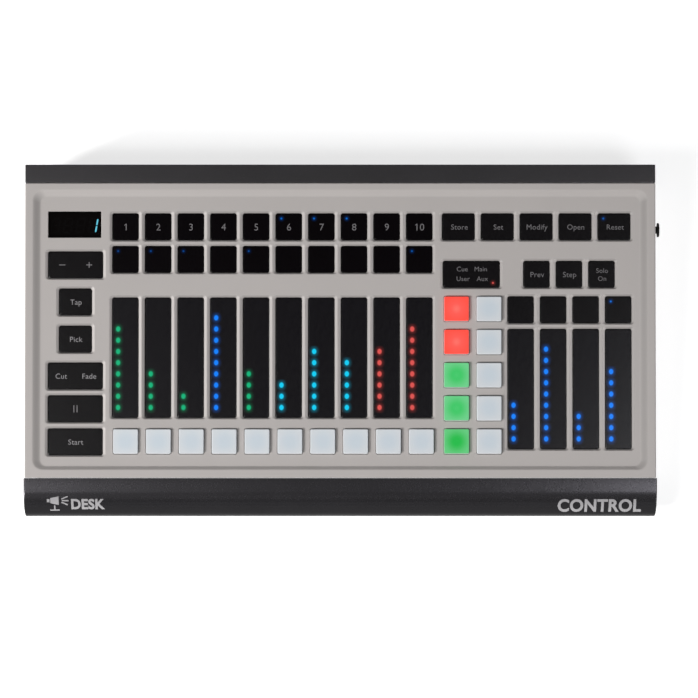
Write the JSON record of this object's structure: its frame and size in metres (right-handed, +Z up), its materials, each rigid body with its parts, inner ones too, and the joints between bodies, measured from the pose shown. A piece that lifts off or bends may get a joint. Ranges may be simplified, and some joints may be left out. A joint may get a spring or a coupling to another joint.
{
  "type": "lighting control desk",
  "caption": "Wedge-shaped table-top lighting control desk with numbered push keys, touch strips with LED meters, raised lit pads and a small display.",
  "frame": {"origin": "middle of the footprint, on the table", "axes": "+X to the right along the width as the user sits, +Y towards the rear, +Z up"},
  "size_m": [0.4874, 0.2647, 0.0735],
  "materials": {
    "beige_paint": "satin powder coat",
    "dark_grey": "satin dark grey",
    "rail_grey": "satin dark grey paint",
    "black_steel": "satin black paint",
    "black_key": "satin black",
    "black_silicone": "satin translucent black",
    "white_pad": "satin milky translucent",
    "red_pad": "satin translucent, lit from behind",
    "green_pad": "satin translucent, lit from behind",
    "smoked_window": "smoked gloss",
    "display_black": "black display face",
    "board_green": "green solder mask",
    "socket_black": "satin black",
    "plated_steel": "bright nickel plate",
    "ribbon_grey": "grey ribbon insulation",
    "foot_rubber": "matt"
  },
  "bodies": {
    "casing": {"top_cover": "beige_paint", "front_nose": "dark_grey", "rear_rail": "rail_grey", "base_tray": "black_steel", "front_foot_strip": "foot_rubber", "rear_foot_strip": "foot_rubber", "touch_mat": "black_silicone", "switch_board": "board_green", "display_window": "smoked_window", "display_module": "display_black", "main_board": "board_green", "ribbon_cable": "ribbon_grey", "usb_socket": "plated_steel", "dmx_socket": "socket_black"},
    "number_key_1_body": {"number_key_1": "black_key"},
    "number_key_2_body": {"number_key_2": "black_key"},
    "number_key_3_body": {"number_key_3": "black_key"},
    "number_key_4_body": {"number_key_4": "black_key"},
    "number_key_5_body": {"number_key_5": "black_key"},
    "number_key_6_body": {"number_key_6": "black_key"},
    "number_key_7_body": {"number_key_7": "black_key"},
    "number_key_8_body": {"number_key_8": "black_key"},
    "number_key_9_body": {"number_key_9": "black_key"},
    "number_key_10_body": {"number_key_10": "black_key"},
    "store_key_body": {"store_key": "black_key"},
    "set_key_body": {"set_key": "black_key"},
    "modify_key_body": {"modify_key": "black_key"},
    "open_key_body": {"open_key": "black_key"},
    "reset_key_body": {"reset_key": "black_key"},
    "previous_key_body": {"previous_key": "black_key"},
    "step_key_body": {"step_key": "black_key"},
    "solo_key_body": {"solo_key": "black_key"},
    "mode_key_body": {"mode_key": "black_key"},
    "tap_key_body": {"tap_key": "black_key"},
    "pick_key_body": {"pick_key": "black_key"},
    "pause_key_body": {"pause_key": "black_key"},
    "start_key_body": {"start_key": "black_key"},
    "flash_pad_1_body": {"flash_pad_1": "white_pad"},
    "flash_pad_2_body": {"flash_pad_2": "white_pad"},
    "flash_pad_3_body": {"flash_pad_3": "white_pad"},
    "flash_pad_4_body": {"flash_pad_4": "white_pad"},
    "flash_pad_5_body": {"flash_pad_5": "white_pad"},
    "flash_pad_6_body": {"flash_pad_6": "white_pad"},
    "flash_pad_7_body": {"flash_pad_7": "white_pad"},
    "flash_pad_8_body": {"flash_pad_8": "white_pad"},
    "flash_pad_9_body": {"flash_pad_9": "white_pad"},
    "flash_pad_10_body": {"flash_pad_10": "white_pad"},
    "grid_pad_a1_body": {"grid_pad_a1": "red_pad"},
    "grid_pad_b1_body": {"grid_pad_b1": "white_pad"},
    "grid_pad_a2_body": {"grid_pad_a2": "red_pad"},
    "grid_pad_b2_body": {"grid_pad_b2": "white_pad"},
    "grid_pad_a3_body": {"grid_pad_a3": "green_pad"},
    "grid_pad_b3_body": {"grid_pad_b3": "white_pad"},
    "grid_pad_a4_body": {"grid_pad_a4": "green_pad"},
    "grid_pad_b4_body": {"grid_pad_b4": "white_pad"},
    "grid_pad_a5_body": {"grid_pad_a5": "green_pad"},
    "grid_pad_b5_body": {"grid_pad_b5": "white_pad"},
    "page_rocker_body": {"page_rocker": "black_key"},
    "cut_fade_rocker_body": {"cut_fade_rocker": "black_key"},
    "side_thumb_screw_body": {"side_thumb_screw": "black_steel"}
  },
  "joints": [
    {"name": "number_key_1_press", "type": "slide", "parent": "casing", "child": "number_key_1_body", "axis": [0, 0.1219, -0.9925], "range_m": [0, 0.001], "stiffness_N_per_m": 600, "springref_m": -0.001},
    {"name": "number_key_2_press", "type": "slide", "parent": "casing", "child": "number_key_2_body", "axis": [0, 0.1219, -0.9925], "range_m": [0, 0.001], "stiffness_N_per_m": 600, "springref_m": -0.001},
    {"name": "number_key_3_press", "type": "slide", "parent": "casing", "child": "number_key_3_body", "axis": [0, 0.1219, -0.9925], "range_m": [0, 0.001], "stiffness_N_per_m": 600, "springref_m": -0.001},
    {"name": "number_key_4_press", "type": "slide", "parent": "casing", "child": "number_key_4_body", "axis": [0, 0.1219, -0.9925], "range_m": [0, 0.001], "stiffness_N_per_m": 600, "springref_m": -0.001},
    {"name": "number_key_5_press", "type": "slide", "parent": "casing", "child": "number_key_5_body", "axis": [0, 0.1219, -0.9925], "range_m": [0, 0.001], "stiffness_N_per_m": 600, "springref_m": -0.001},
    {"name": "number_key_6_press", "type": "slide", "parent": "casing", "child": "number_key_6_body", "axis": [0, 0.1219, -0.9925], "range_m": [0, 0.001], "stiffness_N_per_m": 600, "springref_m": -0.001},
    {"name": "number_key_7_press", "type": "slide", "parent": "casing", "child": "number_key_7_body", "axis": [0, 0.1219, -0.9925], "range_m": [0, 0.001], "stiffness_N_per_m": 600, "springref_m": -0.001},
    {"name": "number_key_8_press", "type": "slide", "parent": "casing", "child": "number_key_8_body", "axis": [0, 0.1219, -0.9925], "range_m": [0, 0.001], "stiffness_N_per_m": 600, "springref_m": -0.001},
    {"name": "number_key_9_press", "type": "slide", "parent": "casing", "child": "number_key_9_body", "axis": [0, 0.1219, -0.9925], "range_m": [0, 0.001], "stiffness_N_per_m": 600, "springref_m": -0.001},
    {"name": "number_key_10_press", "type": "slide", "parent": "casing", "child": "number_key_10_body", "axis": [0, 0.1219, -0.9925], "range_m": [0, 0.001], "stiffness_N_per_m": 600, "springref_m": -0.001},
    {"name": "store_key_press", "type": "slide", "parent": "casing", "child": "store_key_body", "axis": [0, 0.1219, -0.9925], "range_m": [0, 0.001], "stiffness_N_per_m": 600, "springref_m": -0.001},
    {"name": "set_key_press", "type": "slide", "parent": "casing", "child": "set_key_body", "axis": [0, 0.1219, -0.9925], "range_m": [0, 0.001], "stiffness_N_per_m": 600, "springref_m": -0.001},
    {"name": "modify_key_press", "type": "slide", "parent": "casing", "child": "modify_key_body", "axis": [0, 0.1219, -0.9925], "range_m": [0, 0.001], "stiffness_N_per_m": 600, "springref_m": -0.001},
    {"name": "open_key_press", "type": "slide", "parent": "casing", "child": "open_key_body", "axis": [0, 0.1219, -0.9925], "range_m": [0, 0.001], "stiffness_N_per_m": 600, "springref_m": -0.001},
    {"name": "reset_key_press", "type": "slide", "parent": "casing", "child": "reset_key_body", "axis": [0, 0.1219, -0.9925], "range_m": [0, 0.001], "stiffness_N_per_m": 600, "springref_m": -0.001},
    {"name": "previous_key_press", "type": "slide", "parent": "casing", "child": "previous_key_body", "axis": [0, 0.1219, -0.9925], "range_m": [0, 0.001], "stiffness_N_per_m": 600, "springref_m": -0.001},
    {"name": "step_key_press", "type": "slide", "parent": "casing", "child": "step_key_body", "axis": [0, 0.1219, -0.9925], "range_m": [0, 0.001], "stiffness_N_per_m": 600, "springref_m": -0.001},
    {"name": "solo_key_press", "type": "slide", "parent": "casing", "child": "solo_key_body", "axis": [0, 0.1219, -0.9925], "range_m": [0, 0.001], "stiffness_N_per_m": 600, "springref_m": -0.001},
    {"name": "mode_key_press", "type": "slide", "parent": "casing", "child": "mode_key_body", "axis": [0, 0.1219, -0.9925], "range_m": [0, 0.001], "stiffness_N_per_m": 600, "springref_m": -0.001},
    {"name": "tap_key_press", "type": "slide", "parent": "casing", "child": "tap_key_body", "axis": [0, 0.1219, -0.9925], "range_m": [0, 0.001], "stiffness_N_per_m": 600, "springref_m": -0.001},
    {"name": "pick_key_press", "type": "slide", "parent": "casing", "child": "pick_key_body", "axis": [0, 0.1219, -0.9925], "range_m": [0, 0.001], "stiffness_N_per_m": 600, "springref_m": -0.001},
    {"name": "pause_key_press", "type": "slide", "parent": "casing", "child": "pause_key_body", "axis": [0, 0.1219, -0.9925], "range_m": [0, 0.001], "stiffness_N_per_m": 600, "springref_m": -0.001},
    {"name": "start_key_press", "type": "slide", "parent": "casing", "child": "start_key_body", "axis": [0, 0.1219, -0.9925], "range_m": [0, 0.001], "stiffness_N_per_m": 600, "springref_m": -0.001},
    {"name": "flash_pad_1_press", "type": "slide", "parent": "casing", "child": "flash_pad_1_body", "axis": [0, 0.1219, -0.9925], "range_m": [0, 0.001], "stiffness_N_per_m": 600, "springref_m": -0.001},
    {"name": "flash_pad_2_press", "type": "slide", "parent": "casing", "child": "flash_pad_2_body", "axis": [0, 0.1219, -0.9925], "range_m": [0, 0.001], "stiffness_N_per_m": 600, "springref_m": -0.001},
    {"name": "flash_pad_3_press", "type": "slide", "parent": "casing", "child": "flash_pad_3_body", "axis": [0, 0.1219, -0.9925], "range_m": [0, 0.001], "stiffness_N_per_m": 600, "springref_m": -0.001},
    {"name": "flash_pad_4_press", "type": "slide", "parent": "casing", "child": "flash_pad_4_body", "axis": [0, 0.1219, -0.9925], "range_m": [0, 0.001], "stiffness_N_per_m": 600, "springref_m": -0.001},
    {"name": "flash_pad_5_press", "type": "slide", "parent": "casing", "child": "flash_pad_5_body", "axis": [0, 0.1219, -0.9925], "range_m": [0, 0.001], "stiffness_N_per_m": 600, "springref_m": -0.001},
    {"name": "flash_pad_6_press", "type": "slide", "parent": "casing", "child": "flash_pad_6_body", "axis": [0, 0.1219, -0.9925], "range_m": [0, 0.001], "stiffness_N_per_m": 600, "springref_m": -0.001},
    {"name": "flash_pad_7_press", "type": "slide", "parent": "casing", "child": "flash_pad_7_body", "axis": [0, 0.1219, -0.9925], "range_m": [0, 0.001], "stiffness_N_per_m": 600, "springref_m": -0.001},
    {"name": "flash_pad_8_press", "type": "slide", "parent": "casing", "child": "flash_pad_8_body", "axis": [0, 0.1219, -0.9925], "range_m": [0, 0.001], "stiffness_N_per_m": 600, "springref_m": -0.001},
    {"name": "flash_pad_9_press", "type": "slide", "parent": "casing", "child": "flash_pad_9_body", "axis": [0, 0.1219, -0.9925], "range_m": [0, 0.001], "stiffness_N_per_m": 600, "springref_m": -0.001},
    {"name": "flash_pad_10_press", "type": "slide", "parent": "casing", "child": "flash_pad_10_body", "axis": [0, 0.1219, -0.9925], "range_m": [0, 0.001], "stiffness_N_per_m": 600, "springref_m": -0.001},
    {"name": "grid_pad_a1_press", "type": "slide", "parent": "casing", "child": "grid_pad_a1_body", "axis": [0, 0.1219, -0.9925], "range_m": [0, 0.001], "stiffness_N_per_m": 600, "springref_m": -0.001},
    {"name": "grid_pad_b1_press", "type": "slide", "parent": "casing", "child": "grid_pad_b1_body", "axis": [0, 0.1219, -0.9925], "range_m": [0, 0.001], "stiffness_N_per_m": 600, "springref_m": -0.001},
    {"name": "grid_pad_a2_press", "type": "slide", "parent": "casing", "child": "grid_pad_a2_body", "axis": [0, 0.1219, -0.9925], "range_m": [0, 0.001], "stiffness_N_per_m": 600, "springref_m": -0.001},
    {"name": "grid_pad_b2_press", "type": "slide", "parent": "casing", "child": "grid_pad_b2_body", "axis": [0, 0.1219, -0.9925], "range_m": [0, 0.001], "stiffness_N_per_m": 600, "springref_m": -0.001},
    {"name": "grid_pad_a3_press", "type": "slide", "parent": "casing", "child": "grid_pad_a3_body", "axis": [0, 0.1219, -0.9925], "range_m": [0, 0.001], "stiffness_N_per_m": 600, "springref_m": -0.001},
    {"name": "grid_pad_b3_press", "type": "slide", "parent": "casing", "child": "grid_pad_b3_body", "axis": [0, 0.1219, -0.9925], "range_m": [0, 0.001], "stiffness_N_per_m": 600, "springref_m": -0.001},
    {"name": "grid_pad_a4_press", "type": "slide", "parent": "casing", "child": "grid_pad_a4_body", "axis": [0, 0.1219, -0.9925], "range_m": [0, 0.001], "stiffness_N_per_m": 600, "springref_m": -0.001},
    {"name": "grid_pad_b4_press", "type": "slide", "parent": "casing", "child": "grid_pad_b4_body", "axis": [0, 0.1219, -0.9925], "range_m": [0, 0.001], "stiffness_N_per_m": 600, "springref_m": -0.001},
    {"name": "grid_pad_a5_press", "type": "slide", "parent": "casing", "child": "grid_pad_a5_body", "axis": [0, 0.1219, -0.9925], "range_m": [0, 0.001], "stiffness_N_per_m": 600, "springref_m": -0.001},
    {"name": "grid_pad_b5_press", "type": "slide", "parent": "casing", "child": "grid_pad_b5_body", "axis": [0, 0.1219, -0.9925], "range_m": [0, 0.001], "stiffness_N_per_m": 600, "springref_m": -0.001},
    {"name": "page_rocker_tilt", "type": "hinge", "parent": "casing", "child": "page_rocker_body", "pos_m": [-0.2025, 0.05656, 0.05775], "axis": [0, 0.9925, 0.1219], "range_deg": [-3, 3], "stiffness_Nm_per_rad": 0.5},
    {"name": "cut_fade_rocker_tilt", "type": "hinge", "parent": "casing", "child": "cut_fade_rocker_body", "pos_m": [-0.2025, -0.0279, 0.04738], "axis": [0, 0.9925, 0.1219], "range_deg": [-3, 3], "stiffness_Nm_per_rad": 0.5},
    {"name": "side_thumb_screw_turn", "type": "hinge", "parent": "casing", "child": "side_thumb_screw_body", "pos_m": [0.2413, 0.08547, 0.04961], "axis": [1, 0, 0], "continuous": true}
  ]
}
